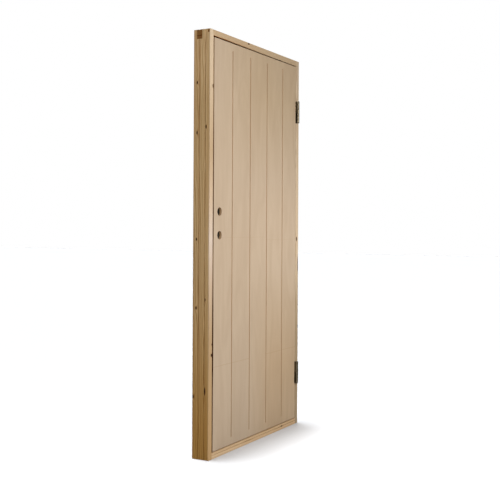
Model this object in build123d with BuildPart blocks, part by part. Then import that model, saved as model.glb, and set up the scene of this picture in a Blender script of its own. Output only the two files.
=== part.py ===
from build123d import *
import os

# A timber storage door: a grooved plywood leaf that opens outwards, hung on two
# lift-off hinges in a rebated pine frame. Seen from the front, the lock is on the left.
# Millimetres. X runs right, Y runs away behind the front, Z up. The origin is the
# centre of the threshold's underside.

# Frame
frame_width = 890
frame_height = 1890
frame_depth = 84
frame_timber = 41        # thickness of the jambs and head behind the rebate
jamb_face = 28           # what is left of a jamb in front of the rebate
head_face = 27
rebate_depth = 41        # from the front of the frame to the stop
sill_face = 27           # height of the threshold in front of the stop
sill_height = 40         # height of the threshold behind it
arris_radius = 1.5

# Shallow relief grooves along the outer faces of the frame
relief_width = 4
relief_depth = 3
relief_front = 24        # front of the frame to the first groove's centre line
relief_back = 55
sill_groove_height = 15.5
sill_groove_width = 3
sill_groove_depth = 2

# Through tongues of the head in the jambs
tongue_width = 28
small_tongue_width = 9
small_tongue_height = 12
small_tongue_inset = 3.5     # from the front of the frame
small_tongue_drop = 3        # from the top of the frame

# Gaps round the leaf
lock_gap = 8
hinge_gap = 5
top_gap = 5
bottom_gap = 5

# Leaf
front_skin_thickness = 9
leaf_core_thickness = 21
back_skin_thickness = 6
stile_width = 45
top_rail_height = 45
bottom_rail_height = 70
lock_block_width = 75
lock_block_height = 290

# Stopped grooves in the front skin
groove_count = 4
groove_pitch = 168
groove_width = 6
groove_depth = 3.5
groove_end_margin = 33
groove_offset = 4            # of the set of grooves from the leaf's centre, to the right

# Lock
handle_height = 985          # handle spindle above the floor
cylinder_above_handle = 105
backset = 50                 # leaf edge to the centres of both holes
lock_hole_diameter = 38
lock_centre_above_handle = 42
forend_length = 235
forend_width = 20
forend_thickness = 3
lock_case_length = 170
lock_case_reach = 33         # how far the case runs on behind the hole centres
lock_case_thickness = 15
lock_case_clearance = 1
cylinder_bore_diameter = 22
follower_diameter = 22
spindle_square = 8
latch_above_handle = 22
latch_height = 20
latch_width = 11
dead_bolt_below_cylinder = 25
dead_bolt_height = 28
dead_bolt_width = 9
bolt_clearance = 0.4         # in the window of the forend

# Strike plate in the lock jamb
strike_length = 190
strike_width = 24
strike_thickness = 2
strike_clearance = 3         # round each bolt that is shot into its pocket
strike_pocket_depth = 16

# Lift-off hinges
hinge_inset = 236            # leaf's top and bottom edges to the middles of the hinges
knuckle_diameter = 15
knuckle_length = 56.5
knuckle_proud = 10           # pivot line in front of the frame's face
knuckle_chamfer = 1.6
hinge_strip = 3              # thickness of the steel strip
hinge_plate_depth = 28       # how far a plate reaches behind the front face
hinge_notch_clearance = 1
hinge_corner_radius = 6
pin_diameter = 9
pin_running_clearance = 0.1
pin_reach = 44               # how far the pin runs into each knuckle
collar_diameter = 12.4
collar_thickness = 1

# Places that follow from the sizes above
half_width = frame_width / 2
front = -frame_depth / 2
back = frame_depth / 2
stop = front + rebate_depth
jamb_opening = half_width - jamb_face
stop_opening = half_width - frame_timber
head_underside = frame_height - head_face
head_stop_underside = frame_height - frame_timber
tongue_back = stop + tongue_width

leaf_left = -jamb_opening + lock_gap
leaf_right = jamb_opening - hinge_gap
leaf_bottom = sill_face + bottom_gap
leaf_top = head_underside - top_gap
leaf_height = leaf_top - leaf_bottom
leaf_centre = (leaf_left + leaf_right) / 2
leaf_middle_height = (leaf_bottom + leaf_top) / 2
skin_back = front + front_skin_thickness
core_back = skin_back + leaf_core_thickness
leaf_back = core_back + back_skin_thickness
lock_plane = (skin_back + core_back) / 2

lock_x = leaf_left + backset
cylinder_height = handle_height + cylinder_above_handle
lock_middle = handle_height + lock_centre_above_handle
latch_middle = handle_height + latch_above_handle
dead_bolt_middle = cylinder_height - dead_bolt_below_cylinder
case_left = leaf_left + forend_thickness
case_right = lock_x + lock_case_reach
bolts = {
    "latch_bolt": (latch_middle, latch_height, latch_width),
    "dead_bolt": (dead_bolt_middle, dead_bolt_height, dead_bolt_width),
}

pivot_x = (leaf_right + jamb_opening) / 2
pivot_y = front - knuckle_proud
knuckle_radius = knuckle_diameter / 2
hinge_half = knuckle_length + collar_thickness / 2
hinge_heights = {
    "upper": leaf_top - hinge_inset,
    "lower": leaf_bottom + hinge_inset,
}

os.makedirs("parts", exist_ok=True)


def save(piece, name):
    """Label a finished piece and write it to its own file."""
    piece.label = name
    export_step(piece, f"parts/{name}.step")


def block(x0, x1, y0, y1, z0, z1, mode=Mode.ADD):
    """A box between two corners, added to or cut from the part in hand."""
    with Locations(((x0 + x1) / 2, (y0 + y1) / 2, (z0 + z1) / 2)):
        Box(abs(x1 - x0), abs(y1 - y0), abs(z1 - z0), mode=mode)


def plate_outline(face, height, inner):
    """Outline in a YZ plane of a hinge plate: square in front, rounded behind."""
    outer = front + hinge_plate_depth
    with BuildSketch(Plane.YZ.offset(face)) as outline:
        with Locations(((inner + outer) / 2, height)):
            Rectangle(outer - inner, 2 * hinge_half)
        fillet(outline.vertices().group_by(Axis.X)[-1], hinge_corner_radius)
    return outline.sketch


def hinge_recess(side, height):
    """Let a hinge plate and the neck of its strip into the part in hand."""
    face = leaf_right if side < 0 else jamb_opening
    neck = knuckle_radius - hinge_gap / 2 + hinge_notch_clearance
    extrude(plate_outline(face, height, front), amount=side * hinge_strip, mode=Mode.SUBTRACT)
    block(face, face + side * neck, front, skin_back,
          height - hinge_half, height + hinge_half, mode=Mode.SUBTRACT)


def lock_holes():
    """Cut the two round lock holes through the part in hand, from front to back."""
    for height in (handle_height, cylinder_height):
        with Locations(Location((lock_x, 0, height), (90, 0, 0))):
            Cylinder(lock_hole_diameter / 2, 2 * frame_depth, mode=Mode.SUBTRACT)


def lock_pocket():
    """Cut the pocket of the lock case into the part in hand."""
    block(case_left, case_right + lock_case_clearance,
          lock_plane - lock_case_thickness / 2 - lock_case_clearance,
          lock_plane + lock_case_thickness / 2 + lock_case_clearance,
          lock_middle - lock_case_length / 2 - lock_case_clearance,
          lock_middle + lock_case_length / 2 + lock_case_clearance,
          mode=Mode.SUBTRACT)


def slot_in_edge(x0, x1, height, length, width, mode=Mode.SUBTRACT):
    """A round-ended slot in the YZ plane, centred on the lock, between two depths in X."""
    with BuildSketch(Plane.YZ.offset(x0)) as slot:
        with Locations((lock_plane, height)):
            SlotOverall(length, width, rotation=90)
    extrude(slot.sketch, amount=x1 - x0, mode=mode)


def bolt_pocket(depth, height, tall, wide):
    """Cut the room for a bolt that is shot into the lock jamb, down to a depth in X."""
    block(-jamb_opening - depth, -jamb_opening,
          lock_plane - wide / 2 - strike_clearance, lock_plane + wide / 2 + strike_clearance,
          height - tall / 2 - strike_clearance, height + tall / 2 + strike_clearance,
          mode=Mode.SUBTRACT)


# Jambs: a rebated section with relief grooves on the outer face, full height
def jamb(side):
    outer = side * half_width
    with BuildPart() as post:
        with BuildSketch() as section:
            with BuildLine():
                Polyline(
                    (outer, front),
                    (side * jamb_opening, front),
                    (side * jamb_opening, stop),
                    (side * stop_opening, stop),
                    (side * stop_opening, back),
                    (outer, back),
                    close=True,
                )
            make_face()
            fillet(section.vertices().group_by(Axis.Y)[0], arris_radius)
            for distance in (relief_front, relief_back):
                with Locations((outer, front + distance)):
                    Rectangle(2 * relief_depth, relief_width, mode=Mode.SUBTRACT)
        extrude(amount=frame_height)
        # Open slot for the head's tongue and the mortise of its small front tongue
        block(side * stop_opening, outer, stop, tongue_back,
              head_stop_underside, frame_height, mode=Mode.SUBTRACT)
        block(side * jamb_opening, outer,
              front + small_tongue_inset, front + small_tongue_inset + small_tongue_width,
              frame_height - small_tongue_drop - small_tongue_height,
              frame_height - small_tongue_drop, mode=Mode.SUBTRACT)
        if side > 0:
            for height in hinge_heights.values():
                hinge_recess(side, height)
        else:
            slot_in_edge(-jamb_opening - strike_thickness, -jamb_opening,
                         lock_middle, strike_length, strike_width)
            for bolt in bolts.values():
                bolt_pocket(strike_thickness + strike_pocket_depth, *bolt)
    return post.part


save(jamb(-1), "lock_jamb")
save(jamb(1), "hinge_jamb")


# Head: the same section between the jambs, with tongues through both of them
with BuildPart() as head:
    block(-jamb_opening, jamb_opening, front, stop, head_underside, frame_height)
    block(-stop_opening, stop_opening, stop, back, head_stop_underside, frame_height)
    block(-half_width, half_width, stop, tongue_back, head_stop_underside, frame_height)
    block(-half_width, half_width,
          front + small_tongue_inset, front + small_tongue_inset + small_tongue_width,
          frame_height - small_tongue_drop - small_tongue_height, frame_height - small_tongue_drop)
    for distance in (relief_front, relief_back):
        block(-half_width, half_width,
              front + distance - relief_width / 2, front + distance + relief_width / 2,
              frame_height - relief_depth, frame_height, mode=Mode.SUBTRACT)
save(head.part, "head")


# Threshold: low in front, with an upstand behind as the stop
with BuildPart() as threshold:
    block(-jamb_opening, jamb_opening, front, stop, 0, sill_face)
    block(-stop_opening, stop_opening, stop, back, 0, sill_height)
    block(-jamb_opening, jamb_opening, front, front + sill_groove_depth,
          sill_groove_height - sill_groove_width / 2, sill_groove_height + sill_groove_width / 2,
          mode=Mode.SUBTRACT)
save(threshold.part, "threshold")


# Strike plate: flush in the lock jamb, with a window for each bolt
with BuildPart() as strike_plate:
    slot_in_edge(-jamb_opening - strike_thickness, -jamb_opening,
                 lock_middle, strike_length, strike_width, mode=Mode.ADD)
    for bolt in bolts.values():
        bolt_pocket(strike_thickness, *bolt)
save(strike_plate.part, "strike_plate")


# Front skin: one sheet of plywood with stopped grooves
with BuildPart() as front_skin:
    block(leaf_left, leaf_right, front, skin_back, leaf_bottom, leaf_top)
    with BuildSketch(Plane.XZ.offset(-front)):
        with Locations((leaf_centre + groove_offset, leaf_middle_height)):
            with GridLocations(groove_pitch, 1, groove_count, 1):
                SlotOverall(leaf_height - 2 * groove_end_margin, groove_width, rotation=90)
    extrude(amount=-groove_depth, mode=Mode.SUBTRACT)
    lock_holes()
    for hinge_height in hinge_heights.values():
        hinge_recess(-1, hinge_height)
save(front_skin.part, "front_skin")


# Back skin: a plain sheet
with BuildPart() as back_skin:
    block(leaf_left, leaf_right, core_back, leaf_back, leaf_bottom, leaf_top)
    lock_holes()
save(back_skin.part, "back_skin")


# Stiles, rails and lock block between the skins
with BuildPart() as lock_stile:
    block(leaf_left, leaf_left + stile_width, skin_back, core_back, leaf_bottom, leaf_top)
    slot_in_edge(leaf_left, leaf_left + forend_thickness, lock_middle, forend_length, forend_width)
    lock_pocket()
    lock_holes()
save(lock_stile.part, "lock_stile")

with BuildPart() as hinge_stile:
    block(leaf_right - stile_width, leaf_right, skin_back, core_back, leaf_bottom, leaf_top)
    for hinge_height in hinge_heights.values():
        hinge_recess(-1, hinge_height)
save(hinge_stile.part, "hinge_stile")

with BuildPart() as top_rail:
    block(leaf_left + stile_width, leaf_right - stile_width, skin_back, core_back,
          leaf_top - top_rail_height, leaf_top)
save(top_rail.part, "top_rail")

with BuildPart() as bottom_rail:
    block(leaf_left + stile_width, leaf_right - stile_width, skin_back, core_back,
          leaf_bottom, leaf_bottom + bottom_rail_height)
save(bottom_rail.part, "bottom_rail")

with BuildPart() as lock_block:
    block(leaf_left + stile_width, leaf_left + stile_width + lock_block_width, skin_back, core_back,
          lock_middle - lock_block_height / 2, lock_middle + lock_block_height / 2)
    lock_pocket()
    lock_holes()
save(lock_block.part, "lock_block")

# Insulation board that fills the leaf round the lock block
with BuildPart() as leaf_core:
    block(leaf_left + stile_width, leaf_right - stile_width, skin_back, core_back,
          leaf_bottom + bottom_rail_height, leaf_top - top_rail_height)
    block(leaf_left + stile_width, leaf_left + stile_width + lock_block_width, skin_back, core_back,
          lock_middle - lock_block_height / 2, lock_middle + lock_block_height / 2, mode=Mode.SUBTRACT)
save(leaf_core.part, "leaf_core")


# Lock case: a closed steel box with the bores of the cylinder and the follower
with BuildPart() as lock_case:
    block(case_left, case_right,
          lock_plane - lock_case_thickness / 2, lock_plane + lock_case_thickness / 2,
          lock_middle - lock_case_length / 2, lock_middle + lock_case_length / 2)
    for bore_height, diameter in (
        (handle_height, follower_diameter),
        (cylinder_height, cylinder_bore_diameter),
    ):
        with Locations(Location((lock_x, lock_plane, bore_height), (90, 0, 0))):
            Cylinder(diameter / 2, lock_case_thickness, mode=Mode.SUBTRACT)
save(lock_case.part, "lock_case")

# Forend: the case's front plate in the leaf's edge, with a window round each bolt
with BuildPart() as lock_forend:
    slot_in_edge(leaf_left, case_left, lock_middle, forend_length, forend_width, mode=Mode.ADD)
    for height, tall, wide in bolts.values():
        block(leaf_left, case_left,
              lock_plane - wide / 2 - bolt_clearance, lock_plane + wide / 2 + bolt_clearance,
              height - tall / 2, height + tall / 2 + bolt_clearance, mode=Mode.SUBTRACT)
save(lock_forend.part, "lock_forend")

# Follower: the hub that the handle's spindle turns
with BuildPart() as lock_follower:
    with BuildSketch(Plane.XZ.offset(-lock_plane - lock_case_thickness / 2)):
        with Locations((lock_x, handle_height)):
            Circle(follower_diameter / 2)
            Rectangle(spindle_square, spindle_square, mode=Mode.SUBTRACT)
    extrude(amount=lock_case_thickness)
save(lock_follower.part, "lock_follower")

# Bolts, both drawn back flush with the forend: their ends rest in its windows, against the case
for bolt_name, (height, tall, wide) in bolts.items():
    with BuildPart() as bolt_end:
        block(leaf_left, case_left, lock_plane - wide / 2, lock_plane + wide / 2,
              height - tall / 2, height + tall / 2)
    save(bolt_end.part, bolt_name)


# Lift-off hinges: a strip rolled into a knuckle, cranked into the edge it is let into
def hinge_leaf(side, height):
    """One half of a hinge: the door half carries the upper knuckle, the frame half the lower."""
    face = leaf_right if side < 0 else jamb_opening
    up = 1 if side < 0 else -1
    mouth = height + up * collar_thickness / 2
    end = height + up * hinge_half
    strip_outer = pivot_x + side * knuckle_radius
    crank = skin_back - hinge_strip
    with BuildPart() as half:
        with BuildSketch(Plane.XY.offset(mouth)):
            with Locations((pivot_x, pivot_y)):
                Circle(knuckle_radius)
        extrude(amount=up * knuckle_length)
        chamfer(half.edges().sort_by(lambda edge: up * edge.center().Z)[-1], knuckle_chamfer)
        extrude(plate_outline(face, height, crank), amount=side * hinge_strip)
        # Crank across to the knuckle's tangent, then the neck in front of it
        block(face, strip_outer, crank, crank + hinge_strip, height - hinge_half, height + hinge_half)
        block(strip_outer, strip_outer - side * hinge_strip, pivot_y, crank + hinge_strip,
              mouth, end - up * knuckle_chamfer)
        bore = pin_diameter / 2 + (pin_running_clearance if side < 0 else 0)
        with BuildSketch(Plane.XY.offset(mouth)):
            with Locations((pivot_x, pivot_y)):
                Circle(bore)
        extrude(amount=up * (pin_reach + (collar_thickness if side < 0 else 0)), mode=Mode.SUBTRACT)
    return half.part


def hinge_pin(height):
    """The pin with its collar, pressed into the frame half."""
    radius = pin_diameter / 2
    low = height - collar_thickness / 2
    high = low + collar_thickness - pin_running_clearance
    with BuildPart() as pin:
        with BuildSketch(Plane.XZ.offset(-pivot_y)):
            with BuildLine():
                Polyline(
                    (pivot_x, low - pin_reach),
                    (pivot_x + radius, low - pin_reach),
                    (pivot_x + radius, low),
                    (pivot_x + collar_diameter / 2, low),
                    (pivot_x + collar_diameter / 2, high),
                    (pivot_x + radius, high),
                    (pivot_x + radius, high + pin_reach - radius / 2),
                    (pivot_x + radius / 2, high + pin_reach),
                    (pivot_x, high + pin_reach),
                    close=True,
                )
            make_face()
        revolve(axis=Axis((pivot_x, pivot_y, 0), (0, 0, 1)))
    return pin.part


for place, hinge_height in hinge_heights.items():
    save(hinge_leaf(-1, hinge_height), f"{place}_hinge_door_half")
    save(hinge_leaf(1, hinge_height), f"{place}_hinge_frame_half")
    save(hinge_pin(hinge_height), f"{place}_hinge_pin")
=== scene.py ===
# %% [markdown]
# # A storage door, dressed for a photograph
# The door set is a pine frame with a grooved plywood leaf hung in it. Its solids come from
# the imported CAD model, in metres, with X to the right, Y away from the front and Z up.
# They stay exactly where they are. This lesson gives them wood and steel, adds the screws,
# and then sets the floor, the light and the camera.

# %% Load the frame
import math
import bpy
from mathutils import Matrix, Vector


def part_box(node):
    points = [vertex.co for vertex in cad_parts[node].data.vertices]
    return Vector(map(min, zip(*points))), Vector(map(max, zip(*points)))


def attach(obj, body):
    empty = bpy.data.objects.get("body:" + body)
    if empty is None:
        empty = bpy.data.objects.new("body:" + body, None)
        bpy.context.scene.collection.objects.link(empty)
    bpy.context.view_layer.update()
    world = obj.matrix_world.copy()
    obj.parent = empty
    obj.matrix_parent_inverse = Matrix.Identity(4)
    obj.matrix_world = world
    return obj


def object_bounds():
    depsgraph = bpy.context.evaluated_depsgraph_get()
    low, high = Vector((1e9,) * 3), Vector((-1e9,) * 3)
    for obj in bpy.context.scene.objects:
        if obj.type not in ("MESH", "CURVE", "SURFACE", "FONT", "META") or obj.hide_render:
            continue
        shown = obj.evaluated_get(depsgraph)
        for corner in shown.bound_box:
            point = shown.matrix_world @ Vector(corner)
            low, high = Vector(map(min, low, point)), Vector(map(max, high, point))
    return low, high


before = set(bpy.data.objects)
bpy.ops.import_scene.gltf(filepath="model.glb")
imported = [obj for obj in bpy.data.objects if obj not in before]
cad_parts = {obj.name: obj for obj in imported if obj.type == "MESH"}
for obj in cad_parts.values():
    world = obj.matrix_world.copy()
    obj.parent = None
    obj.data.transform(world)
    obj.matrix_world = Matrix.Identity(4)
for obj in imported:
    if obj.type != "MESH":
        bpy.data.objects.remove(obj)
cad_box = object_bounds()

corners = [tuple(round(v, 4) for v in corner) for corner in cad_box]
print("nodes", len(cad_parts), "box", corners)

# %% [markdown]
# ## Helpers for materials
# Colours are picked as sRGB hex values, as a paint chart gives them, but Blender mixes light
# in linear values, so one function converts them. Sizes of a pattern are written in
# millimetres, and a texture wants repeats for each millimetre, so a second one turns them
# over. A third adds any node, with its settings and its links, so that a whole tree reads
# as a list of steps.

# %% Helpers for colours and nodes
MM = 0.001

# A Mix node has sockets for every kind of data: these are the numbers of its colour ones
MIX_A, MIX_B, MIXED = 6, 7, 2


def linear(hex_colour):
    """Turn an sRGB hex colour into the linear RGBA that a socket takes."""
    channels = [int(hex_colour[i:i + 2], 16) / 255 for i in (1, 3, 5)]
    return [c / 12.92 if c <= 0.04045 else ((c + 0.055) / 1.055) ** 2.4
            for c in channels] + [1.0]


def per_mm(*sizes):
    """Sizes of a pattern in millimetres, as the scale that a texture takes."""
    return [1 / size for size in sizes]


def add(tree, kind, links=None, stops=(), **settings):
    """Add a node. Settings are its own properties, links give each input a value or an
    output, and stops are the positions and colours of a colour ramp."""
    made = tree.nodes.new(kind)
    for name, value in settings.items():
        setattr(made, name, value)
    for key, value in (links or {}).items():
        if isinstance(value, bpy.types.NodeSocket):
            tree.links.new(value, made.inputs[key])
        else:
            made.inputs[key].default_value = value
    if stops:
        elements = made.color_ramp.elements
        while len(elements) < len(stops):
            elements.new(0.5)
        for element, (position, colour) in zip(elements, stops):
            element.position = position
            element.color = colour
    return made


print("white is", linear("#ffffff")[0], "and mid grey is", round(linear("#808080")[0], 3))

# %% [markdown]
# Every material starts in the same way, with a shader and the object's own coordinates,
# here in millimetres. Many marks on wood are a tint that is laid over it in one place, so
# that step is a function too.

# %% The start of a material, and a tint
def start(name):
    """A material with an empty tree, its shader, and the object's coordinates in millimetres."""
    material = bpy.data.materials.new(name)
    material.use_nodes = True
    tree = material.node_tree
    tree.nodes.clear()
    shader = add(tree, "ShaderNodeBsdfPrincipled")
    output = add(tree, "ShaderNodeOutputMaterial")
    tree.links.new(shader.outputs["BSDF"], output.inputs["Surface"])
    place = add(tree, "ShaderNodeTexCoord").outputs["Object"]
    in_mm = add(tree, "ShaderNodeVectorMath", {0: place, "Scale": 1 / MM},
                operation="SCALE").outputs["Vector"]
    return material, tree, shader, in_mm


def tinted(tree, wood, amount, hex_colour):
    """The wood multiplied by a tint, as far as the amount goes from 0 to 1."""
    darker = add(tree, "ShaderNodeVectorMath", {0: wood, 1: linear(hex_colour)[:3]},
                 operation="MULTIPLY").outputs["Vector"]
    return add(tree, "ShaderNodeMix", {"Factor": amount, MIX_A: wood, MIX_B: darker},
               data_type="RGBA").outputs[MIXED]


FRONT, BACK = (corner.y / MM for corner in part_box("lock_jamb"))
TOP = cad_box[1].z / MM
HALF = cad_box[1].x / MM
BARE_WOOD_SPECULAR = 0.08
print("frame from y", FRONT, "to", BACK, "mm")

# %% [markdown]
# ## Pine
# A board is cut from a trunk, so its grain is a slice through the yearly rings. The pattern
# is made in the solid: rings round a pith line that lies outside the board, a little tilted,
# so that faces show long stripes and the sawn ends show arcs. Image textures would slide
# over the corners, which this can't do.
#
# A knot is a branch that crosses the board: round across it, dark at its rim, and the rings
# bend round it. So the first step measures how far it is to the nearest knot.

# %% The distance to a knot
def nearest_knot(tree, knots, across, depth, length):
    """Distance to the nearest knot, in that knot's own radii, or None without a knot.
    A knot is (axis it runs along, place across, place along, radius across, radius along).
    One along Y starts in the front and fades between 4 and 12 mm inside the board."""
    nearest = None
    for axis, place_across, place_along, wide, long in knots:
        face = across if axis == "Y" else depth
        seen = add(tree, "ShaderNodeCombineXYZ", {"X": face, "Y": length}).outputs["Vector"]
        scaled = add(tree, "ShaderNodeVectorMath", {
            0: seen, 1: (1 / wide, 1 / long, 0),
            2: (-place_across / wide, -place_along / long, 0)},
            operation="MULTIPLY_ADD").outputs["Vector"]
        gap = add(tree, "ShaderNodeVectorMath", {0: scaled}, operation="LENGTH").outputs["Value"]
        if axis == "Y":
            past = add(tree, "ShaderNodeMapRange", {
                "Value": depth, "From Min": FRONT + 4, "From Max": FRONT + 12,
                "To Min": 0.0, "To Max": 3.0}).outputs["Result"]
            gap = add(tree, "ShaderNodeMath", {0: gap, 1: past}, operation="ADD").outputs["Value"]
        nearest = gap if nearest is None else add(
            tree, "ShaderNodeMath", {0: nearest, 1: gap}, operation="MINIMUM").outputs["Value"]
    return nearest


print("a knot can cross a board", round(BACK - FRONT), "mm deep")

# %% [markdown]
# The trunk is never straight: its rings wander by a few millimetres over half a metre. Near
# a knot they bulge outwards. Good and bad years make them wide and narrow. What is left of
# the ring count after the point says how far through its year the wood is.

# %% The yearly rings
YEARS_MM = 11     # good and bad years change about this often


def yearly_rings(tree, board, pith, ring_mm, nearest):
    """How far through its year the wood is, 0 to 1, and its place in the wandering trunk.
    pith is the place of the ring centre across the board, and its two tilts in radians."""
    stretched = add(tree, "ShaderNodeVectorMath", {0: board, 1: per_mm(60, 60, 420)},
                    operation="MULTIPLY").outputs["Vector"]
    wander = add(tree, "ShaderNodeTexNoise", {"Vector": stretched, "Scale": 1.0, "Detail": 2.0},
                 noise_dimensions="3D").outputs["Color"]
    wander = add(tree, "ShaderNodeVectorMath", {0: wander, 1: (0.5, 0.5, 0.5)},
                 operation="SUBTRACT").outputs["Vector"]
    bent = add(tree, "ShaderNodeVectorMath", {0: wander, 1: (16, 16, 0), 2: board},
               operation="MULTIPLY_ADD").outputs["Vector"]
    centred = add(tree, "ShaderNodeMapping", {
        "Vector": bent, "Location": (-pith[0], -pith[1], 0),
        "Rotation": (pith[2], pith[3], 0)}).outputs["Vector"]
    flat = add(tree, "ShaderNodeVectorMath", {0: centred, 1: (1, 1, 0)},
               operation="MULTIPLY").outputs["Vector"]
    radius = add(tree, "ShaderNodeVectorMath", {0: flat}, operation="LENGTH").outputs["Value"]
    if nearest is not None:
        squared = add(tree, "ShaderNodeMath", {0: nearest, 1: 2.0},
                      operation="POWER").outputs["Value"]
        falling = add(tree, "ShaderNodeMath", {0: squared, 1: -0.12},
                      operation="MULTIPLY").outputs["Value"]
        push = add(tree, "ShaderNodeMath", {0: falling}, operation="EXPONENT").outputs["Value"]
        radius = add(tree, "ShaderNodeMath", {0: push, 1: 0.9 * ring_mm, 2: radius},
                     operation="MULTIPLY_ADD").outputs["Value"]
    slow = add(tree, "ShaderNodeMath", {0: radius, 1: 1 / YEARS_MM},
               operation="MULTIPLY").outputs["Value"]
    years = add(tree, "ShaderNodeTexNoise", {"W": slow, "Scale": 1.0, "Detail": 1.0},
                noise_dimensions="1D").outputs["Fac"]
    uneven = add(tree, "ShaderNodeMath", {0: years, 1: 2.2 * ring_mm, 2: radius},
                 operation="MULTIPLY_ADD").outputs["Value"]
    count = add(tree, "ShaderNodeMath", {0: uneven, 1: 1 / ring_mm},
                operation="MULTIPLY").outputs["Value"]
    return add(tree, "ShaderNodeMath", {0: count}, operation="FRACT").outputs["Value"], bent


print("good and bad years change about every", YEARS_MM, "mm")

# %% [markdown]
# Each ring is pale early wood that darkens slowly into late wood and ends at once.
# Heartwood comes and goes in bands some 20 mm wide. Over both lie the fibres, about half a
# millimetre wide and 40 mm long, which are noise drawn out along the board.

# %% The colour of the rings
EARLY_SHARE = 0.45     # how far into the year the wood stays pale


def ring_colours(tree, board, bent, year, tones):
    """The wood's colour, its fibres, and how much these lighten or darken what they cross."""
    early, late, heart = (linear(tone) for tone in tones)
    rings = add(tree, "ShaderNodeValToRGB", {"Fac": year}, stops=[
        (0.0, early), (EARLY_SHARE, early), (0.88, late), (1.0, early)]).outputs["Color"]
    band_place = add(tree, "ShaderNodeVectorMath", {0: board, 1: per_mm(22, 22, 700)},
                     operation="MULTIPLY").outputs["Vector"]
    band = add(tree, "ShaderNodeTexNoise", {"Vector": band_place, "Scale": 1.0, "Detail": 3.0},
               noise_dimensions="3D").outputs["Fac"]
    band = add(tree, "ShaderNodeMapRange", {
        "Value": band, "From Min": 0.42, "From Max": 0.72, "To Max": 0.55}).outputs["Result"]
    wood = add(tree, "ShaderNodeMix", {"Factor": band, MIX_A: rings, MIX_B: heart},
               data_type="RGBA").outputs[MIXED]
    fibre_place = add(tree, "ShaderNodeVectorMath", {0: bent, 1: per_mm(0.6, 0.6, 40)},
                      operation="MULTIPLY").outputs["Vector"]
    fibre = add(tree, "ShaderNodeTexNoise", {"Vector": fibre_place, "Scale": 1.0, "Detail": 3.0},
                noise_dimensions="3D").outputs["Fac"]
    shade = add(tree, "ShaderNodeMapRange", {
        "Value": fibre, "From Min": 0.3, "From Max": 0.7,
        "To Min": 0.90, "To Max": 1.06}).outputs["Result"]
    wood = add(tree, "ShaderNodeVectorMath", {0: wood, "Scale": shade},
               operation="SCALE").outputs["Vector"]
    return wood, fibre, shade


print("early wood fills", EARLY_SHARE, "of a ring")

# %% [markdown]
# A real board changes along its length and from face to face. Sapwood towards one face is
# paler and heartwood is redder, and the knots lie on top of both: a black-brown rim round a
# browner heart, fading into the wood.

# %% Faces and knots
RAMP_PER_RADIUS, KNOT_END = 0.5, 0.95     # the ramp of a knot: its scale, and where it ends


def with_faces(tree, wood, shade, depth, length, faces):
    """Tones of their own for the front and the back. A face is (depth where it is full,
    depth where it ends, its tones along the board)."""
    for full, none, tones in faces:
        share = add(tree, "ShaderNodeMath", {0: length, 1: 1 / TOP},
                    operation="MULTIPLY").outputs["Value"]
        pale = add(tree, "ShaderNodeValToRGB", {"Fac": share}, stops=[
            (position, linear(colour)) for position, colour in tones]).outputs["Color"]
        pale = add(tree, "ShaderNodeVectorMath", {0: pale, "Scale": shade},
                   operation="SCALE").outputs["Vector"]
        near = add(tree, "ShaderNodeMapRange", {
            "Value": depth, "From Min": full, "From Max": none,
            "To Min": 1.0, "To Max": 0.0}).outputs["Result"]
        wood = add(tree, "ShaderNodeMix", {"Factor": near, MIX_A: wood, MIX_B: pale},
                   data_type="RGBA").outputs[MIXED]
    return wood


def with_knots(tree, wood, fibre, nearest):
    """Knots over the wood, with an edge that the fibres make uneven."""
    wobble = add(tree, "ShaderNodeMath", {0: fibre, 1: 0.3, 2: nearest},
                 operation="MULTIPLY_ADD").outputs["Value"]
    inside = add(tree, "ShaderNodeMath", {0: wobble, 1: RAMP_PER_RADIUS},
                 operation="MULTIPLY").outputs["Value"]
    rim, heart = linear("#2b1a0c"), linear("#452a14")
    spot = add(tree, "ShaderNodeValToRGB", {"Fac": inside}, stops=[
        (0.10, rim), (0.35, heart), (0.58, rim), (0.68, linear("#7c5028")[:3] + [0.6]),
        (KNOT_END, linear("#a97b42")[:3] + [0.0])]).outputs
    return add(tree, "ShaderNodeMix", {
        "Factor": spot["Alpha"], MIX_A: wood, MIX_B: spot["Color"]},
        data_type="RGBA").outputs[MIXED]


print("a knot fades out at", KNOT_END / RAMP_PER_RADIUS, "of its radii")

# %% [markdown]
# Two more marks. A fine line of painted shade runs along the front of the head and of the
# threshold and fades out. Sawn ends drink light: their open fibres make them darker.

# %% Painted shade lines and sawn ends
SAWN_MM = 0.3


def with_painted_shade_line(tree, wood, across, length, painted_shade_line):
    """A line of painted shade along a board: (middle, half width, tint, place where it is full,
    where it ends).
    """
    middle, half, tint, full, gone = painted_shade_line
    inside = add(tree, "ShaderNodeMath", {0: across, 1: middle, 2: half},
                 operation="COMPARE").outputs["Value"]
    fade = add(tree, "ShaderNodeMapRange", {
        "Value": length, "From Min": full, "From Max": gone,
        "To Min": 1.0, "To Max": 0.0}).outputs["Result"]
    inside = add(tree, "ShaderNodeMath", {0: inside, 1: fade},
                 operation="MULTIPLY").outputs["Value"]
    return tinted(tree, wood, inside, tint)


def with_sawn_ends(tree, wood, length, span):
    """Darker wood on the two end faces of a board."""
    low_end = add(tree, "ShaderNodeMath", {0: length, 1: span[0] + SAWN_MM},
                  operation="LESS_THAN").outputs["Value"]
    high_end = add(tree, "ShaderNodeMath", {0: length, 1: span[1] - SAWN_MM},
                   operation="GREATER_THAN").outputs["Value"]
    sawn = add(tree, "ShaderNodeMath", {0: low_end, 1: high_end},
               operation="MAXIMUM").outputs["Value"]
    return tinted(tree, wood, sawn, "#aa8b62")


print("sawn ends are", SAWN_MM, "mm deep")

# %% [markdown]
# Now the steps come together. The late wood is harder, so it is a little smoother and stands
# up by a hair after planing: the year drives the roughness, and year and fibres the bump.

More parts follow.
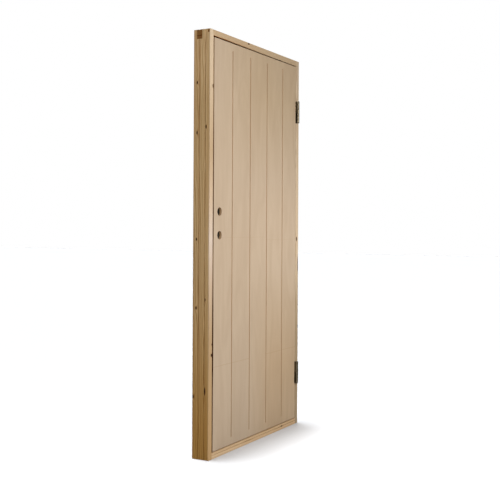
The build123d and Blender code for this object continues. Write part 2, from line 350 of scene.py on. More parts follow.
# %% The pine material
def pine(name, grain, pith, tones, ring_mm, knots=(), span=None, tone_and_shade_ramps=(), faces=(),
         painted_shade_line=None):
    """Planed pine, in millimetres. grain is the axis of the board, tones are early wood, late
    wood and heart, span is the two sawn ends, and tone_and_shade_ramps are (start, end, tint at
    the end): changes of tone along the board, and on the hinge jamb painted shade towards its foot."""
    material, tree, shader, place = start(name)
    axes = add(tree, "ShaderNodeSeparateXYZ", {"Vector": place}).outputs
    first, along = ("Z", "X") if grain == "X" else ("X", "Z")
    across, depth, length = axes[first], axes["Y"], axes[along]
    board = add(tree, "ShaderNodeCombineXYZ", {
        "X": across, "Y": depth, "Z": length}).outputs["Vector"]
    nearest = nearest_knot(tree, knots, across, depth, length)
    year, bent = yearly_rings(tree, board, pith, ring_mm, nearest)
    wood, fibre, shade = ring_colours(tree, board, bent, year, tones)
    # Each ramp tints the wood along the board: a change of tone, and on the hinge jamb painted
    # shade
    for low, high, tint in tone_and_shade_ramps:
        amount = add(tree, "ShaderNodeMapRange", {
            "Value": length, "From Min": low, "From Max": high},
            interpolation_type="SMOOTHSTEP").outputs["Result"]
        wood = tinted(tree, wood, amount, tint)
    wood = with_faces(tree, wood, shade, depth, length, faces)
    if nearest is not None:
        wood = with_knots(tree, wood, fibre, nearest)
    # Painted shade: a darker line by the gap under the head and in the threshold's groove
    if painted_shade_line is not None:
        wood = with_painted_shade_line(tree, wood, across, length, painted_shade_line)
    if span is not None:
        wood = with_sawn_ends(tree, wood, length, span)

    tree.links.new(wood, shader.inputs["Base Color"])
    rough = add(tree, "ShaderNodeMapRange", {
        "Value": year, "To Min": 0.62, "To Max": 0.50}).outputs["Result"]
    tree.links.new(rough, shader.inputs["Roughness"])
    shader.inputs["Specular IOR Level"].default_value = BARE_WOOD_SPECULAR
    height = add(tree, "ShaderNodeMath", {0: year, 1: 0.35, 2: fibre},
                 operation="MULTIPLY_ADD").outputs["Value"]
    bump = add(tree, "ShaderNodeBump", {
        "Height": height, "Strength": 0.25, "Distance": 0.15 * MM}).outputs["Normal"]
    tree.links.new(bump, shader.inputs["Normal"])
    return material


print("boards of the frame end at", -HALF, HALF, "and", TOP, "mm")

# %% [markdown]
# ## Each board of the frame
# No two boards of a real frame match, so each has its own pith, tones and knots. The knots
# of the lock jamb are where the photograph shows them: eight on its side, three on its
# narrow front. Its front is sapwood, and its back edge is warmer heartwood.

# %% The jambs
lock_jamb_pine = pine(
    "planed_pine_lock_jamb", "Z", (-HALF + 150, 96, 0.010, -0.012),
    ("#e3c291", "#b0834e", "#d1a571"), 4.2,
    knots=[("X", FRONT + 66, 1657, 2.8, 6), ("X", FRONT + 20, 1460, 2.8, 7),
           ("X", FRONT + 66, 1436, 3.0, 6), ("X", FRONT + 67, 967, 2.6, 6),
           ("X", FRONT + 21, 702, 2.8, 6), ("X", FRONT + 67, 665, 3.0, 6),
           ("X", FRONT + 20.5, 301, 3.4, 14), ("X", FRONT + 80, 274, 3.0, 7),
           ("Y", -HALF + 26, 1641, 4.5, 7), ("Y", -HALF + 25, 505, 2.2, 4),
           ("Y", -HALF + 22, 458, 4.5, 6)],
    span=(0, TOP), tone_and_shade_ramps=[(1760, 1560, "#f0eee8"), (900, 0, "#e9d6a8")],
    faces=[(FRONT + 1.5, FRONT + 6, [
        (0.0, "#d0a876"), (0.28, "#c5a47c"), (0.40, "#d5b99b"), (0.51, "#e6d1bd"),
        (0.60, "#dfc3a4"), (0.72, "#cdaf89"), (0.90, "#e3c9a7"), (1.0, "#e7cdab")]),
        (BACK - 1, BACK - 7, [
            (0.0, "#b78b5b"), (0.2, "#a77c42"), (0.33, "#a77e4e"), (0.5, "#bc976c"),
            (0.7, "#be9163"), (1.0, "#c39a70")])])
# Painted shade: the hinge jamb darkens from 900 mm down towards its foot
hinge_jamb_pine = pine(
    "planed_pine_hinge_jamb", "Z", (HALF + 130, 60, -0.012, 0.010),
    ("#e7d2b5", "#c5a883", "#d7ba95"), 3.6,
    knots=[("Y", HALF - 20, 962, 4.5, 9), ("Y", HALF - 3, 830, 4, 34),
           ("Y", HALF - 2, 505, 3.5, 7), ("X", 0, 1320, 6, 11), ("X", FRONT + 58, 560, 5, 10)],
    span=(0, TOP), tone_and_shade_ramps=[(900, 450, "#d5cfc5")])
print("jamb materials", lock_jamb_pine.name, hinge_jamb_pine.name)

# %% [markdown]
# The head and the threshold lie along X. The head's line of painted shade sits at its lower edge,
# by the gap over the leaf, and fades to the right. The threshold's is painted shade in its thin
# groove. The rails and stiles of the leaf are plainer wood, of which only the edges show.

# %% The head, the threshold and the leaf's own frame
head_pine = pine(
    "planed_pine_head", "X", (TOP + 90, -70, 0.012, 0.008), ("#d8be9b", "#b7956c", "#cda67c"), 3.8,
    knots=[("Y", TOP - 4.5, -99, 3.4, 6.5), ("Z", FRONT + 60, 120, 6, 10)], span=(-HALF, HALF),
    painted_shade_line=(TOP - 26.0, 1.4, "#a87840", -330, 180))
threshold_pine = pine(
    "planed_pine_threshold", "X", (-120, 40, 0.010, -0.010),
    ("#f1d0a6", "#c89e6b", "#deb583"), 3.4,
    knots=[("Y", 17, 262, 2.8, 6)], span=(-HALF, HALF),
    painted_shade_line=(16, 1.6, "#b3a593", 445, -1335))
leaf_tones = ("#cdb189", "#a8865a", "#bd9c70")
rail_pine = pine("planed_pine_rails", "X", (1500, 80, 0.010, 0.010), leaf_tones, 3.4)
stile_pine = pine("planed_pine_stiles", "Z", (0, 110, 0.010, 0.010), leaf_tones, 3.4)
print("pine materials", len([m for m in bpy.data.materials if "pine" in m.name]))

# %% [markdown]
# ## Plywood
# The skins are sheets of thin veneers, peeled from the log and glued with their grain
# crossed. The face veneer is pale and close grained: fibres 0.9 mm wide and 90 mm long, with
# a slow upright figure behind them.

# %% The face veneer
def veneer(tree, place, pale, dark):
    """The face of a sheet: its colour, its figure, its fibres and how much these shade it."""
    wide = add(tree, "ShaderNodeVectorMath", {0: place, 1: per_mm(75, 75, 330)},
               operation="MULTIPLY").outputs["Vector"]
    figure = add(tree, "ShaderNodeTexNoise", {
        "Vector": wide, "Scale": 1.0, "Detail": 5.0, "Distortion": 1.1},
        noise_dimensions="3D").outputs["Fac"]
    fine = add(tree, "ShaderNodeVectorMath", {0: place, 1: per_mm(0.9, 0.9, 90)},
               operation="MULTIPLY").outputs["Vector"]
    fibre = add(tree, "ShaderNodeTexNoise", {"Vector": fine, "Scale": 1.0, "Detail": 2.0},
                noise_dimensions="3D").outputs["Fac"]
    figure = add(tree, "ShaderNodeMapRange", {
        "Value": figure, "From Min": 0.32, "From Max": 0.68}).outputs["Result"]
    sheet = add(tree, "ShaderNodeMix", {"Factor": figure, MIX_A: pale, MIX_B: dark},
                data_type="RGBA").outputs[MIXED]
    shade = add(tree, "ShaderNodeMapRange", {
        "Value": fibre, "From Min": 0.3, "From Max": 0.7,
        "To Min": 0.955, "To Max": 1.03}).outputs["Result"]
    sheet = add(tree, "ShaderNodeVectorMath", {0: sheet, "Scale": shade},
                operation="SCALE").outputs["Vector"]
    return sheet, figure, fibre, shade


leaf_low, leaf_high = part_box("front_skin")
print("front skin, mm", [round(v / MM, 1) for v in leaf_high - leaf_low])

# %% [markdown]
# Marks of one sheet. The face veneer is pieced together, which leaves hairlines that run
# from an edge of the sheet to a groove, and the sheet is yellower towards some corners.

# %% Joints and warm corners
JOINT_MM = 1.4


def with_joints(tree, sheet, axes, figure, colour, joints):
    """Hairlines across the sheet, each (left, right, height, strength)."""
    for left, right, height, strength in joints:
        slope = add(tree, "ShaderNodeMath", {0: figure, 1: 1.5, 2: axes["Z"]},
                    operation="MULTIPLY_ADD").outputs["Value"]
        near = add(tree, "ShaderNodeMath", {0: slope, 1: height, 2: JOINT_MM},
                   operation="COMPARE").outputs["Value"]
        after = add(tree, "ShaderNodeMath", {0: axes["X"], 1: left},
                    operation="GREATER_THAN").outputs["Value"]
        before = add(tree, "ShaderNodeMath", {0: axes["X"], 1: right},
                     operation="LESS_THAN").outputs["Value"]
        inside = add(tree, "ShaderNodeMath", {0: after, 1: before},
                     operation="MULTIPLY").outputs["Value"]
        line = add(tree, "ShaderNodeMath", {0: near, 1: inside},
                   operation="MULTIPLY").outputs["Value"]
        line = add(tree, "ShaderNodeMath", {0: line, 1: strength},
                   operation="MULTIPLY").outputs["Value"]
        sheet = add(tree, "ShaderNodeMix", {"Factor": line, MIX_A: sheet, MIX_B: colour},
                    data_type="RGBA").outputs[MIXED]
    return sheet


def with_warm_corners(tree, sheet, axes, warm):
    """Tints towards a corner: (tint, x where it starts and is full, the same for z)."""
    for tint, reach_x, reach_z in warm:
        amount = 1.0
        for axis, (none, full) in (("X", reach_x), ("Z", reach_z)):
            part = add(tree, "ShaderNodeMapRange", {
                "Value": axes[axis], "From Min": none, "From Max": full}).outputs["Result"]
            amount = add(tree, "ShaderNodeMath", {0: part, 1: amount},
                         operation="MULTIPLY").outputs["Value"]
        sheet = tinted(tree, sheet, amount, tint)
    return sheet


print("a veneer joint is drawn", 2 * JOINT_MM, "mm wide, because a real one is too fine to show")

# %% [markdown]
# Because the pattern is solid, the walls of the grooves, the holes and the edges of the sheet
# cut through the layers and show them as thin stripes, as a real cut edge does. At the lock
# the cut edge is painted dark as the shade of the gap, more at some heights than at others, and
# the painted shade reaches a little way onto the face. It is laid over the layers, so that it
# covers their cut edges too.

# %% Layers and the painted shade of the edge
LAYER_MM = 1.5


def with_layers(tree, sheet, depth, shade, core, edge):
    """Below the face, crossed and upright layers by turns."""
    layer = add(tree, "ShaderNodeMath", {0: depth, 1: 1 / LAYER_MM, 2: 0.4},
                operation="MULTIPLY_ADD").outputs["Value"]
    number = add(tree, "ShaderNodeMath", {0: layer}, operation="FLOOR").outputs["Value"]
    crossed = add(tree, "ShaderNodeMath", {0: number, 1: 2.0},
                  operation="FLOORED_MODULO").outputs["Value"]
    inner = add(tree, "ShaderNodeMix", {"Factor": crossed, MIX_A: core, MIX_B: edge},
                data_type="RGBA").outputs[MIXED]
    inner = add(tree, "ShaderNodeVectorMath", {0: inner, "Scale": shade},
                operation="SCALE").outputs["Vector"]
    below = add(tree, "ShaderNodeMath", {0: number, 1: 0.5},
                operation="GREATER_THAN").outputs["Value"]
    return add(tree, "ShaderNodeMix", {"Factor": below, MIX_A: sheet, MIX_B: inner},
               data_type="RGBA").outputs[MIXED]


def with_painted_edge_shade(tree, wood, axes, painted_edge_shade):
    """The edge painted dark as shade of the gap: (its x, the widest painted shade on the face, how
    much at some heights).
    """
    edge_x, widest, amounts = painted_edge_shade
    share = add(tree, "ShaderNodeMath", {0: axes["Z"], 1: 1 / TOP},
                operation="MULTIPLY").outputs["Value"]
    amount = add(tree, "ShaderNodeValToRGB", {"Fac": share}, stops=[
        (height / TOP, (part, part, part, 1)) for height, part in amounts]).outputs["Color"]
    width = add(tree, "ShaderNodeMath", {0: amount, 1: widest},
                operation="MULTIPLY").outputs["Value"]
    reach = add(tree, "ShaderNodeMath", {0: axes["X"], 1: edge_x},
                operation="SUBTRACT").outputs["Value"]
    past = add(tree, "ShaderNodeMath", {0: reach, 1: width},
               operation="SUBTRACT").outputs["Value"]
    band = add(tree, "ShaderNodeMapRange", {
        "Value": past, "From Min": 0.0, "From Max": 0.6,
        "To Min": 1.3, "To Max": 0.0}).outputs["Result"]
    band = add(tree, "ShaderNodeMath", {0: band, 1: amount},
               operation="MULTIPLY", use_clamp=True).outputs["Value"]
    # Painted shade: the cut edge at the lock and a strip of the face are darkened as the shade of
    # the gap
    return add(tree, "ShaderNodeMix", {
        "Factor": band, MIX_A: wood, MIX_B: linear("#45230a")},
        data_type="RGBA").outputs[MIXED]


print("layers", LAYER_MM, "mm thick")

# %% [markdown]
# The front and the back skin are the same plywood. Only the front has marks of its own and
# painted shade at its lock edge. Its joints run from the edges of the sheet to the second or the
# third groove.

# %% The plywood material
def plywood(name, outer, inwards, joints=(), painted_edge_shade=None, warm=()):
    """Sanded plywood whose layers lie in Y. outer is its outer face in millimetres, and
    inwards is +1 or -1, the way into the sheet from there."""
    material, tree, shader, place = start(name)
    axes = add(tree, "ShaderNodeSeparateXYZ", {"Vector": place}).outputs
    depth = add(tree, "ShaderNodeMath", {0: axes["Y"], 1: inwards, 2: -outer * inwards},
                operation="MULTIPLY_ADD").outputs["Value"]
    pale, dark, core, edge = (linear(tone) for tone in ("#d0b99e", "#c9b196", "#c5a482", "#b28c66"))
    sheet, figure, fibre, shade = veneer(tree, place, pale, dark)
    sheet = with_joints(tree, sheet, axes, figure, edge, joints)
    sheet = with_warm_corners(tree, sheet, axes, warm)
    wood = with_layers(tree, sheet, depth, shade, core, edge)
    if painted_edge_shade is not None:
        wood = with_painted_edge_shade(tree, wood, axes, painted_edge_shade)
    tree.links.new(wood, shader.inputs["Base Color"])
    shader.inputs["Roughness"].default_value = 0.55
    shader.inputs["Specular IOR Level"].default_value = BARE_WOOD_SPECULAR
    bump = add(tree, "ShaderNodeBump", {
        "Height": fibre, "Strength": 0.2, "Distance": 0.1 * MM}).outputs["Normal"]
    tree.links.new(bump, shader.inputs["Normal"])
    return material


left_edge, right_edge = leaf_low.x / MM, leaf_high.x / MM
second_groove, third_groove = -78.5, 89.5
# Its painted edge shade is strongest from 400 to 600 mm up
front_plywood = plywood(
    "sanded_plywood_front", leaf_low.y / MM, 1,
    joints=[(left_edge, second_groove, 403, 0.26), (third_groove, right_edge, 403, 0.26),
            (left_edge, third_groove, 975, 0.10), (third_groove, right_edge, 962, 0.10)],
    painted_edge_shade=(left_edge, 1.6, [
        (100, 0.35), (300, 0.50), (400, 0.80), (480, 1.0), (600, 0.90), (700, 0.60),
        (800, 0.30), (880, 0.15), (1050, 0.50), (1400, 0.38), (1550, 0.15), (1700, 0.0),
        (1800, 0.08)]),
    warm=[("#fff8ec", (-120, 150), (800, 350)), ("#fffcf3", (-420, 0), (1250, 1650))])
back_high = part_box("back_skin")[1]
back_plywood = plywood("sanded_plywood_back", back_high.y / MM, -1)
print("plywood", front_plywood.name, back_plywood.name)

# %% [markdown]
# ## Steel
# The lock and the hinges are cold-formed steel. Their thin zinc coat is a soft grey metal,
# slightly cloudy from the plating bath and with fine drawing lines, so it is metallic with a
# roughness that wanders, not a mirror. The hinges are painted a darker brown-grey, as painted
# reflection of dark surroundings, and the lock case and follower behind the two holes are
# painted darker still, as painted shade of the deep hollow.

# %% Plated steel
def plated(name, colour, roughness, streak_axis):
    """Plated steel with clouds about 15 mm across and lines 0.4 mm apart along one axis."""
    material, tree, shader, place = start(name)
    cloud_place = add(tree, "ShaderNodeVectorMath", {0: place, "Scale": 1 / 15},
                      operation="SCALE").outputs["Vector"]
    cloud = add(tree, "ShaderNodeTexNoise", {"Vector": cloud_place, "Scale": 1.0, "Detail": 4.0},
                noise_dimensions="3D").outputs["Fac"]
    stretch = per_mm(*(30 if axis == streak_axis else 0.4 for axis in "XYZ"))
    line_place = add(tree, "ShaderNodeVectorMath", {0: place, 1: stretch},
                     operation="MULTIPLY").outputs["Vector"]
    lines = add(tree, "ShaderNodeTexNoise", {"Vector": line_place, "Scale": 1.0, "Detail": 2.0},
                noise_dimensions="3D").outputs["Fac"]
    tone = linear(colour)
    dull = [c * 0.72 for c in tone[:3]] + [1.0]
    metal = add(tree, "ShaderNodeMix", {"Factor": cloud, MIX_A: tone, MIX_B: dull},
                data_type="RGBA").outputs[MIXED]
    tree.links.new(metal, shader.inputs["Base Color"])
    shader.inputs["Metallic"].default_value = 1.0
    rough = add(tree, "ShaderNodeMapRange", {
        "Value": cloud, "From Min": 0.3, "From Max": 0.7,
        "To Min": roughness - 0.06, "To Max": roughness + 0.08}).outputs["Result"]
    tree.links.new(rough, shader.inputs["Roughness"])
    bump = add(tree, "ShaderNodeBump", {
        "Height": lines, "Strength": 0.15, "Distance": 0.05 * MM}).outputs["Normal"]
    tree.links.new(bump, shader.inputs["Normal"])
    return material


lock_steel = plated("zinc_plated_lock_steel", "#c0beb6", 0.34, "Z")
# Painted shade: the lock case and follower are coloured dark to stand for the shade deep inside the
# two holes
shade_dark_case_steel = plated("lock_case_steel_dark_as_shade", "#57534b", 0.42, "Z")
# Painted reflection: the hinges are coloured darker than their zinc coat, as dark surroundings
# would show in them
reflection_dark_hinge_steel = plated("zinc_plated_hinge_steel_reflection_dark", "#605849", 0.28, "Z")
screw_steel = plated("zinc_plated_screw_steel", "#b4b0a4", 0.28, "X")
print("steels", lock_steel.name, shade_dark_case_steel.name, reflection_dark_hinge_steel.name, screw_steel.name)

# %% [markdown]
# ## Insulation board
# The leaf's core is closed-cell foam board. It is hidden between the skins, but it gets its
# own finish, a pale board with fine beads, so that the part can be taken apart.

# %% Foam board
BEAD_MM = 3.5
foam, tree, shader, place = start("foam_insulation_board")
beads = add(tree, "ShaderNodeTexVoronoi", {"Vector": place, "Scale": 1 / BEAD_MM},
            feature="F1").outputs["Distance"]
tone = add(tree, "ShaderNodeValToRGB", {"Fac": beads}, stops=[
    (0.0, linear("#ecebe4")), (1.0, linear("#d4d3ca"))]).outputs["Color"]
tree.links.new(tone, shader.inputs["Base Color"])
shader.inputs["Roughness"].default_value = 0.9
print("foam beads", BEAD_MM, "mm")

# %% [markdown]
# ## Hand the finishes to the parts
# A CAD part keeps its mesh and only gets a material in its slot.

# %% Assign the materials
finish = {
    "lock_jamb": lock_jamb_pine, "hinge_jamb": hinge_jamb_pine, "head": head_pine,
    "threshold": threshold_pine, "lock_stile": stile_pine, "hinge_stile": stile_pine,
    "lock_block": stile_pine, "top_rail": rail_pine, "bottom_rail": rail_pine,
    "front_skin": front_plywood, "back_skin": back_plywood, "leaf_core": foam,
    "strike_plate": lock_steel, "lock_forend": lock_steel, "latch_bolt": lock_steel,
    "dead_bolt": lock_steel, "lock_case": shade_dark_case_steel, "lock_follower": shade_dark_case_steel,
}
for level in ("upper", "lower"):
    for half in ("hinge_door_half", "hinge_frame_half", "hinge_pin"):
        finish[f"{level}_{half}"] = reflection_dark_hinge_steel
for name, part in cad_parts.items():
    part.data.materials.clear()
    part.data.materials.append(finish[name])
print("parts with a finish", len(finish), "of", len(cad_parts))

# %% [markdown]
# ## Screws
# The hinge plates, the forend and the strike plate are held by raised countersunk screws
# with a cross recess. They repeat, so one Geometry Nodes tree makes them all. The head is a
# flat cone, and two crossing bars cut the recess into it. The bars overlap each other, which
# the exact cut can take if it is told so.

# %% The head of a screw
HEAD_TAPER = 0.72     # the top of the head against its rim


def screw_head(tree, given):
    """The mesh of one head, facing up, with the cross cut into it."""
    top_radius = add(tree, "ShaderNodeMath", {0: given["Head Radius"], 1: HEAD_TAPER},
                     operation="MULTIPLY").outputs["Value"]
    dome = add(tree, "GeometryNodeMeshCone", {
        "Vertices": 28, "Side Segments": 1, "Fill Segments": 1, "Depth": given["Head Height"],
        "Radius Bottom": given["Head Radius"], "Radius Top": top_radius}).outputs["Mesh"]
    bars = add(tree, "GeometryNodeJoinGeometry")
    long, wide = given["Recess Length"], given["Recess Width"]
    for length, width in ((long, wide), (wide, long)):
        tall = add(tree, "ShaderNodeMath", {0: given["Recess Depth"], 1: 2.0},
                   operation="MULTIPLY").outputs["Value"]
        size = add(tree, "ShaderNodeCombineXYZ", {
            "X": length, "Y": width, "Z": tall}).outputs["Vector"]
        bar = add(tree, "GeometryNodeMeshCube", {"Size": size}).outputs["Mesh"]
        top = add(tree, "ShaderNodeCombineXYZ", {"Z": given["Head Height"]}).outputs["Vector"]
        moved = add(tree, "GeometryNodeTransform", {
            "Geometry": bar, "Translation": top}).outputs["Geometry"]
        tree.links.new(moved, bars.inputs["Geometry"])
    return add(tree, "GeometryNodeMeshBoolean", {
        "Mesh 1": dome, "Mesh 2": bars.outputs["Geometry"], "Self Intersection": True},
        operation="DIFFERENCE", solver="EXACT").outputs["Mesh"]


print("a head tapers to", HEAD_TAPER)

# %% [markdown]
# The tree sets a copy of the head on every point it is given. A head faces +X or -X, and each
# is turned by its own angle, as a hand leaves it, from a fixed seed. Realize Instances makes
# the copies real, because an export drops instances.

# %% The tree that makes screws
def screw_turn(tree, given):
    """The turn of a head: towards +X or -X by the sign of X and Facing, and then spun."""
    position = add(tree, "GeometryNodeInputPosition").outputs[0]
    side = add(tree, "ShaderNodeSeparateXYZ", {"Vector": position}).outputs["X"]
    side = add(tree, "ShaderNodeMath", {0: side}, operation="SIGN").outputs["Value"]
    side = add(tree, "ShaderNodeMath", {0: side, 1: given["Facing"]},
               operation="MULTIPLY").outputs["Value"]
    aim = add(tree, "ShaderNodeCombineXYZ", {"X": side}).outputs["Vector"]
    turn = add(tree, "FunctionNodeAlignRotationToVector", {"Vector": aim},
               axis="Z").outputs["Rotation"]
    # Inputs 2 and 3 and output 1 of Random Value are those of its number, from least to most
    angle = add(tree, "FunctionNodeRandomValue", {"Seed": 7, 2: 0.0, 3: math.tau},
                data_type="FLOAT").outputs[1]
    spin = add(tree, "FunctionNodeAxisAngleToRotation", {
        "Axis": (0, 0, 1), "Angle": angle}).outputs["Rotation"]
    return add(tree, "FunctionNodeRotateRotation", {"Rotation": turn, "Rotate By": spin},
               rotation_space="LOCAL").outputs["Rotation"]


def screw_tree(material):
    """A node group: points in, screw heads out."""
    tree = bpy.data.node_groups.new("cross_recess_screws", "GeometryNodeTree")
    panel = tree.interface
    panel.new_socket("Geometry", in_out="INPUT", socket_type="NodeSocketGeometry")
    for name, value in (
            ("Head Radius", 3.6 * MM), ("Head Height", 0.7 * MM), ("Recess Length", 4.2 * MM),
            ("Recess Width", 0.9 * MM), ("Recess Depth", 0.55 * MM), ("Facing", 1.0)):
        panel.new_socket(name, in_out="INPUT", socket_type="NodeSocketFloat").default_value = value
    panel.new_socket("Geometry", in_out="OUTPUT", socket_type="NodeSocketGeometry")
    given = add(tree, "NodeGroupInput").outputs
    points = add(tree, "GeometryNodeMeshToPoints", {"Mesh": given["Geometry"]}).outputs["Points"]
    copies = add(tree, "GeometryNodeInstanceOnPoints", {
        "Points": points, "Instance": screw_head(tree, given),
        "Rotation": screw_turn(tree, given)}).outputs["Instances"]
    real = add(tree, "GeometryNodeRealizeInstances", {"Geometry": copies}).outputs["Geometry"]
    painted = add(tree, "GeometryNodeSetMaterial", {
        "Geometry": real, "Material": material}).outputs["Geometry"]
    add(tree, "NodeGroupOutput", {"Geometry": painted})
    return tree


tree = screw_tree(screw_steel)
print("screw tree inputs", [item.name for item in tree.interface.items_tree])

# %% [markdown]
# The points come from the parts that the screws hold: four to a hinge plate, in two rows
# so that they don't split the wood, and one at each end of the forend and strike plate.

# %% The places of the screws
HINGE_JAMB_FACE = 417 * MM     # the face of the hinge jamb that the frame plates are let into


def plate_points(node, x):
    """Four screw places on the visible part of a hinge plate."""
    low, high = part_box(node)
    middle = (low.z + high.z) / 2
    return [(x, high.y - inset * MM, middle + rise * MM)
            for inset, rise in ((6, -45), (13, -15), (6, 15), (13, 45))]


def end_points(node, x, inset):
    """One screw near each end of an upright plate."""
    low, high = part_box(node)
    return [(x, (low.y + high.y) / 2, z) for z in (low.z + inset * MM, high.z - inset * MM)]


leaf_points, frame_points = [], []
for level in ("upper", "lower"):
    leaf_points += plate_points(f"{level}_hinge_door_half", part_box("hinge_stile")[1].x)
    frame_points += plate_points(f"{level}_hinge_frame_half", HINGE_JAMB_FACE)
leaf_points += end_points("lock_forend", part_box("lock_forend")[0].x, 9)
frame_points += end_points("strike_plate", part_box("strike_plate")[1].x, 11)
print("screw places", len(leaf_points), "on the leaf and", len(frame_points), "on the frame")

# %% [markdown]
# The copies become one plain mesh for each body that they ride on, so that half of the
# screws swing with the leaf and half stay with the frame.

# %% Make the screws
def screws(name, points, facing, body):
    """Set a screw on each point, make the result a plain mesh and let it ride on a body."""
    seed = bpy.data.meshes.new(name + "_points")
    seed.from_pydata(points, [], [])
    maker = bpy.data.objects.new(name + "_maker", seed)
    bpy.context.scene.collection.objects.link(maker)
    modifier = maker.modifiers.new("Screws", "NODES")
    modifier.node_group = tree
    sockets = {item.name: item.identifier for item in tree.interface.items_tree
               if item.in_out == "INPUT"}
    modifier[sockets["Facing"]] = facing
    bpy.context.view_layer.update()
    seen = maker.evaluated_get(bpy.context.evaluated_depsgraph_get())
    mesh = bpy.data.meshes.new_from_object(seen)
    bpy.data.objects.remove(maker)
    piece = bpy.data.objects.new(name, mesh)
    bpy.context.scene.collection.objects.link(piece)
    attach(piece, body)
    print(name, len(points), "screws,", len(mesh.polygons), "faces")


screws("leaf_screws", leaf_points, 1.0, "leaf")
screws("frame_screws", frame_points, -1.0, "frame")

# %% [markdown]
# ## Floor and backdrop
# The floor is a pale plane, and the world behind it is white wherever a ray goes straight:
# from the camera, off a gloss or through a glass. Such a ray also sees the floor with a small
# glow, so that it reads as white paper and only the shadow of the door is left on it. To all
# other light the floor is darker, so that it doesn't brighten the foot of the door, and the
# world is a dim, even light.

# %% Floor and world
AMBIENT = 0.126                            # the world, as light
LIFT = 0.040                               # the glow of the floor, as seen
SEEN_FLOOR = (0.750, 0.760, 0.775, 1)
BOUNCE = 0.20                              # the floor, as light
FLOOR_REACH = 30                           # metres from the door to its edges


def straight_view(tree):
    """1 for rays that should see plain white, and 0 for light on its way to a surface."""
    path = add(tree, "ShaderNodeLightPath").outputs
    seen = add(tree, "ShaderNodeMath", {0: path["Is Camera Ray"], 1: path["Is Glossy Ray"]},
               operation="MAXIMUM").outputs["Value"]
    return add(tree, "ShaderNodeMath", {0: seen, 1: path["Is Transmission Ray"]},
               operation="MAXIMUM").outputs["Value"]


paper = bpy.data.materials.new("floor_paper")
paper.use_nodes = True
tree = paper.node_tree
tree.nodes.clear()
seen = straight_view(tree)
tone = add(tree, "ShaderNodeMix", {
    "Factor": seen, MIX_A: (BOUNCE, BOUNCE, BOUNCE, 1), MIX_B: SEEN_FLOOR},
    data_type="RGBA").outputs[MIXED]
matte = add(tree, "ShaderNodeBsdfDiffuse", {"Color": tone}).outputs["BSDF"]
lift = add(tree, "ShaderNodeMath", {0: seen, 1: LIFT}, operation="MULTIPLY").outputs["Value"]
glow = add(tree, "ShaderNodeEmission", {
    "Color": linear("#d4e6ff"), "Strength": lift}).outputs["Emission"]
both = add(tree, "ShaderNodeAddShader", {0: matte, 1: glow}).outputs["Shader"]
add(tree, "ShaderNodeOutputMaterial", {"Surface": both})
plane = bpy.data.meshes.new("floor")
plane.from_pydata([(x * FLOOR_REACH, y * FLOOR_REACH, 0)
                   for x, y in ((-1, -1), (1, -1), (1, 1), (-1, 1))], [], [(0, 1, 2, 3)])
floor = bpy.data.objects.new("floor", plane)
floor.data.materials.append(paper)
floor.location.z = -0.5 * MM
bpy.context.scene.collection.objects.link(floor)

world = bpy.data.worlds.new("white_studio")
bpy.context.scene.world = world
world.use_nodes = True
tree = world.node_tree
tree.nodes.clear()
even = add(tree, "ShaderNodeBackground", {
    "Color": (1, 1, 1, 1), "Strength": AMBIENT}).outputs["Background"]
white = add(tree, "ShaderNodeBackground", {
    "Color": (1, 1, 1, 1), "Strength": 1.0}).outputs["Background"]
mixed = add(tree, "ShaderNodeMixShader", {
    0: straight_view(tree), 1: even, 2: white}).outputs["Shader"]
add(tree, "ShaderNodeOutputWorld", {"Surface": mixed})
bpy.context.scene.view_settings.view_transform = "Standard"
print("ambient", AMBIENT, "floor lift", LIFT)

# %% [markdown]
# ## Lamps
# A softbox in front and to the left lights the face of the leaf, and a small lamp near the
# hinge side helps it there. Two broad suns stand almost overhead and a little behind the
# door, one to its left and one to its right. A sun lights the floor evenly however far away,
# and these two throw the short shadow forwards and to both sides.

# %% Set up the lamps
SUN_STRENGTH = 0.59 * math.pi     # each sun
SUN_WIDTH = math.radians(11)
SUN_LEAN, SUN_FORWARDS = 0.07, -0.092     # for each metre that its light falls


def shine(name, kind, aim, energy, place=(0, 0, 0)):
    """A lamp at a place that points along a direction."""
    data = bpy.data.lights.new(name, kind)
    data.energy = energy
    made = bpy.data.objects.new(name, data)
    made.location = place
    made.rotation_mode = "QUATERNION"
    made.rotation_quaternion = aim.to_track_quat("-Z", "Y")
    bpy.context.scene.collection.objects.link(made)
    return data


for name, place, target, size, power in (
        ("left_softbox", (-1.6, -2.54, 1.75), (-0.6, 0, 0.2), 0.5, 65.5),
        ("near_lamp", (0.28, -0.8, 1.06), (0.5, 0, 0.6), 0.2, 2.0)):
    box = shine(name, "AREA", Vector(target) - Vector(place), power, place)
    box.shape = "SQUARE"
    box.size = size
for name, lean in (("overhead_sun_left", SUN_LEAN), ("overhead_sun_right", -SUN_LEAN)):
    sun = shine(name, "SUN", Vector((lean, SUN_FORWARDS, -1)), SUN_STRENGTH)
    sun.angle = SUN_WIDTH
print("lamps", sorted(lamp.name for lamp in bpy.data.lights))

# %% [markdown]
# Metal looks like what stands round it. In a white room it would be white, so a dark card at
# the right gives the hinges their dark edges. Only gloss shows it: it is hidden from the
# camera, gives no bounce and throws no shadow.

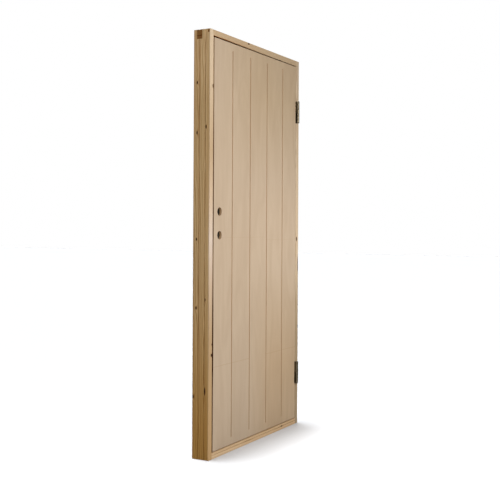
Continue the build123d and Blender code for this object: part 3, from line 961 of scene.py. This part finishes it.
# %% The dark card
CARD_HEIGHT = 0.75
plan = [(1.3, 1.2), (1.3, -1.0), (0.75, -1.5), (0.2, -1.7)]
low_card = [(x, y, height) for x, y in plan for height in (0, CARD_HEIGHT)]
high_card = [(1.3, 1.2, 1.3), (1.3, -0.35, 1.3), (1.3, -0.35, 2.4), (1.3, 1.2, 2.4)]
cloth = bpy.data.meshes.new("dark_card")
cloth.from_pydata(low_card + high_card, [],
                  [(0, 2, 3, 1), (2, 4, 5, 3), (4, 6, 7, 5), (8, 9, 10, 11)])
black = bpy.data.materials.new("dark_card_cloth")
black.use_nodes = True
dull_black = black.node_tree.nodes["Principled BSDF"].inputs
dull_black["Base Color"].default_value = linear("#1c1a18")
dull_black["Roughness"].default_value = 1.0
card = bpy.data.objects.new("dark_card", cloth)
card.data.materials.append(black)
card.visible_camera = card.visible_diffuse = card.visible_shadow = False
bpy.context.scene.collection.objects.link(card)
print("dark card", len(cloth.polygons), "faces")

# %% [markdown]
# ## Camera
# The camera stands to the left and looks at the door at a slant of 61 degrees. Its place, its
# turn and its lens were fitted to the corners of the frame in the photograph. The small shift
# is the photographer's framing, which keeps the uprights upright.

# %% Set up the camera
PICTURE = 500                     # pixels
FOCAL_PX = 885.553
YAW, PITCH, ROLL = 1.06416, 0.00357, 0.0050
PLACE_MM = (-3744.3, -2066.2, 1014.6)

ahead = Vector((math.sin(YAW) * math.cos(PITCH), math.cos(YAW) * math.cos(PITCH),
                math.sin(PITCH)))
right = Vector((math.cos(YAW), -math.sin(YAW), 0))
up = right.cross(ahead)
right, up = (math.cos(ROLL) * right + math.sin(ROLL) * up,
             math.cos(ROLL) * up - math.sin(ROLL) * right)
camera = bpy.data.cameras.new("camera")
camera.sensor_width = 36
camera.lens = FOCAL_PX * camera.sensor_width / PICTURE
camera.shift_x = 0.0038
camera.shift_y = -0.0490
viewer = bpy.data.objects.new("camera", camera)
bpy.context.scene.collection.objects.link(viewer)
turned = Matrix((right, up, -ahead)).transposed().to_4x4()
turned.translation = Vector(PLACE_MM) * MM
viewer.matrix_world = turned
bpy.context.scene.camera = viewer
print("lens", round(camera.lens, 2), "mm")
